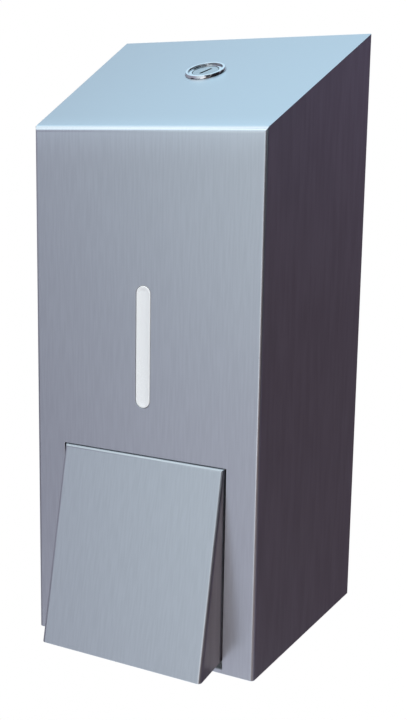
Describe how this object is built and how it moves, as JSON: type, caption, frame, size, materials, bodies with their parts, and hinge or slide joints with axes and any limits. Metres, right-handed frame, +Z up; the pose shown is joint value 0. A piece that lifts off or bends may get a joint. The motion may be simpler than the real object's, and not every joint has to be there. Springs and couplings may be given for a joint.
{
  "type": "liquid soap dispenser",
  "caption": "Wall-mounted liquid soap dispenser: folded steel cover with a sloped locking top, sight slot, hinged push lever, and a tank with a piston pump inside.",
  "frame": {"origin": "middle of the four wall screw holes, on the rear face of the back plate, which lies on the wall", "axes": "+Y into the wall, so the front faces -Y; +Z up; +X to the right as seen from the wall's room side"},
  "size_m": [0.1198, 0.1105, 0.2535],
  "materials": {
    "brushed_steel": "stainless sheet with a fine upright grain",
    "plate_steel": "zinc plated sheet steel, dull",
    "spring_steel": "bright drawn wire and rod",
    "chrome": "polished chrome plate",
    "white_plastic": "moulded white plastic",
    "tank_plastic": "milky blow-moulded plastic",
    "lens_plastic": "milky translucent plastic",
    "black_rubber": "soft black rubber"
  },
  "bodies": {
    "base": {"back_plate": "plate_steel", "strike_bracket": "plate_steel", "hinge_pins": "plate_steel", "hinge_washers": "white_plastic", "tank_shelf": "plate_steel", "tank": "tank_plastic", "neck_gasket": "black_rubber", "pump_nut": "white_plastic", "pump_body": "white_plastic", "pump_end_cap": "white_plastic", "inlet_valve": "black_rubber", "return_spring": "spring_steel"},
    "cover": {"cover_shell": "brushed_steel", "hinge_bosses": "plate_steel", "sight_lens": "lens_plastic", "lever_brackets": "plate_steel", "lever_pin": "spring_steel", "lever_pin_rings": "spring_steel", "lock_housing": "chrome", "lock_washer": "plate_steel", "lock_nut": "plate_steel"},
    "lever": {"push_lever": "brushed_steel", "lever_bushes": "white_plastic", "lever_pad": "black_rubber"},
    "plunger": {"plunger": "white_plastic", "piston_seal": "black_rubber", "spout_head": "white_plastic", "outlet_valve": "black_rubber"},
    "lock": {"lock_core": "chrome", "lock_cam": "plate_steel", "cam_screw": "plate_steel"},
    "lid": {"tank_lid": "white_plastic"}
  },
  "joints": [
    {"name": "cover_hinge", "type": "hinge", "parent": "base", "child": "cover", "pos_m": [0, -0.009, -0.141], "axis": [1, 0, 0], "range_deg": [0, 90]},
    {"name": "lever_press", "type": "hinge", "parent": "cover", "child": "lever", "pos_m": [0, -0.0874, -0.067], "axis": [1, 0, 0], "range_deg": [0, 9]},
    {"name": "pump_stroke", "type": "slide", "parent": "base", "child": "plunger", "axis": [0, 1, 0], "range_m": [0, 0.0078], "stiffness_N_per_m": 500, "springref_m": -0.02, "deforming": ["return_spring"]},
    {"name": "lock_turn", "type": "hinge", "parent": "cover", "child": "lock", "pos_m": [0, -0.039, 0.09077], "axis": [0, -0.4234, 0.9059], "range_deg": [0, 90]},
    {"name": "lid_lift", "type": "slide", "parent": "base", "child": "lid", "axis": [0, 0, 1], "range_m": [0, 0.012]}
  ],
  "couplings": [
    {"joint": "pump_stroke", "follows": "lever_press", "m_per_rad": 0.04943}
  ]
}
